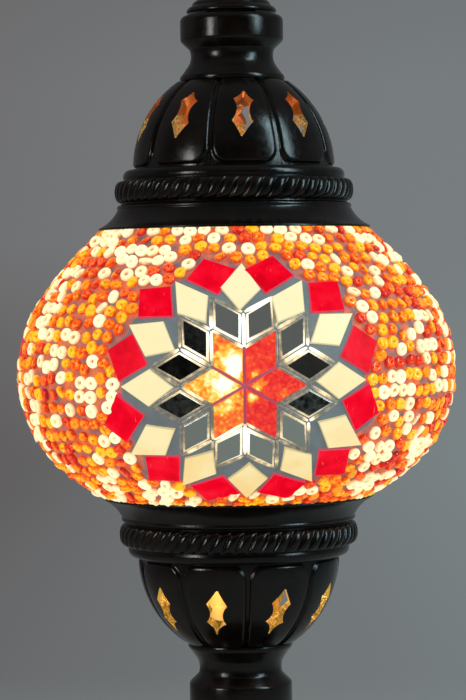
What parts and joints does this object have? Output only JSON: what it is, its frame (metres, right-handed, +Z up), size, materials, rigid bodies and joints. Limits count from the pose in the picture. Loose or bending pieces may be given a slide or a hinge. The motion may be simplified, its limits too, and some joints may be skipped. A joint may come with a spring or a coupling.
{
  "type": "mosaic glass table lamp",
  "caption": "Table lamp with a cast foot, stem and pierced bowl, a lift-off bead and tile mosaic glass globe, a pierced cap and a screw-on finial.",
  "frame": {"origin": "middle of the felt's underside on the lamp's axis, where it stands on the table", "axes": "+Z up along the lamp's axis, -Y towards the viewer of the front rosette, +Y towards the cord inlet"},
  "size_m": [0.1656, 0.1656, 0.3806],
  "materials": {
    "bronze": "satin",
    "zinc_steel": "satin",
    "brass": "satin",
    "nickel": "satin",
    "felt": "matte",
    "black_plastic": "satin",
    "ceramic": "satin",
    "black_glass": "gloss",
    "clear_glass": "gloss",
    "grout": "matte",
    "mirror": "polished",
    "star_red": "gloss",
    "red_glass": "gloss",
    "cream_glass": "gloss",
    "bead_cream": "gloss",
    "bead_amber": "gloss",
    "bead_orange": "gloss",
    "bead_red": "gloss",
    "filament": "matte"
  },
  "bodies": {
    "stand": {"base_felt": "felt", "base_plate": "zinc_steel", "base_washer": "zinc_steel", "base_nut": "zinc_steel", "foot_casting": "bronze", "cord_bush": "black_plastic", "threaded_tube": "zinc_steel", "stem_baluster": "bronze", "stem_knob": "bronze", "bowl_dome": "bronze", "bowl_ring": "bronze", "bowl_rivets": "brass", "bowl_seat": "felt", "bowl_washer": "zinc_steel", "bowl_nut": "zinc_steel", "holder_cap": "brass", "holder_body": "brass", "holder_insert": "ceramic", "holder_shell": "brass", "holder_contact": "brass", "holder_terminals": "zinc_steel"},
    "globe": {"globe_glass": "clear_glass", "globe_grout": "grout", "bead_field": "bead_orange", "tiles_star_red": "star_red", "tiles_mirror": "mirror", "tiles_cream": "cream_glass", "tiles_outer_red": "red_glass"},
    "cap": {"cap_ring": "bronze", "cap_seat": "felt", "cap_rivets": "brass", "cap_dome": "bronze", "cap_knob": "bronze", "cap_stud": "zinc_steel", "cap_washer": "zinc_steel", "cap_nut": "zinc_steel"},
    "finial_washer": {"finial_washer": "felt"},
    "finial": {"finial_spire": "bronze"},
    "bulb": {"bulb_envelope": "clear_glass", "bulb_cap": "nickel", "bulb_insulator": "black_glass", "bulb_contact": "nickel", "bulb_stem": "clear_glass", "bulb_filaments": "filament"}
  },
  "joints": [
    {"name": "globe_lift", "type": "slide", "parent": "stand", "child": "globe", "axis": [0, 0, 1], "range_m": [0, 0.12]},
    {"name": "cap_lift", "type": "slide", "parent": "globe", "child": "cap", "axis": [0, 0, 1], "range_m": [0, 0.06]},
    {"name": "finial_lift", "type": "slide", "parent": "cap", "child": "finial_washer", "axis": [0, 0, 1], "range_m": [0, 0.00601]},
    {"name": "finial_turn", "type": "hinge", "parent": "finial_washer", "child": "finial", "pos_m": [0, 0, 0.3376], "axis": [0, 0, 1], "range_deg": [0, 2160]},
    {"name": "bulb_out", "type": "slide", "parent": "stand", "child": "bulb", "axis": [0, 0, 1], "range_m": [0, 0.03]}
  ],
  "couplings": [
    {"joint": "finial_lift", "follows": "finial_turn", "m_per_rad": 0.00015915}
  ]
}
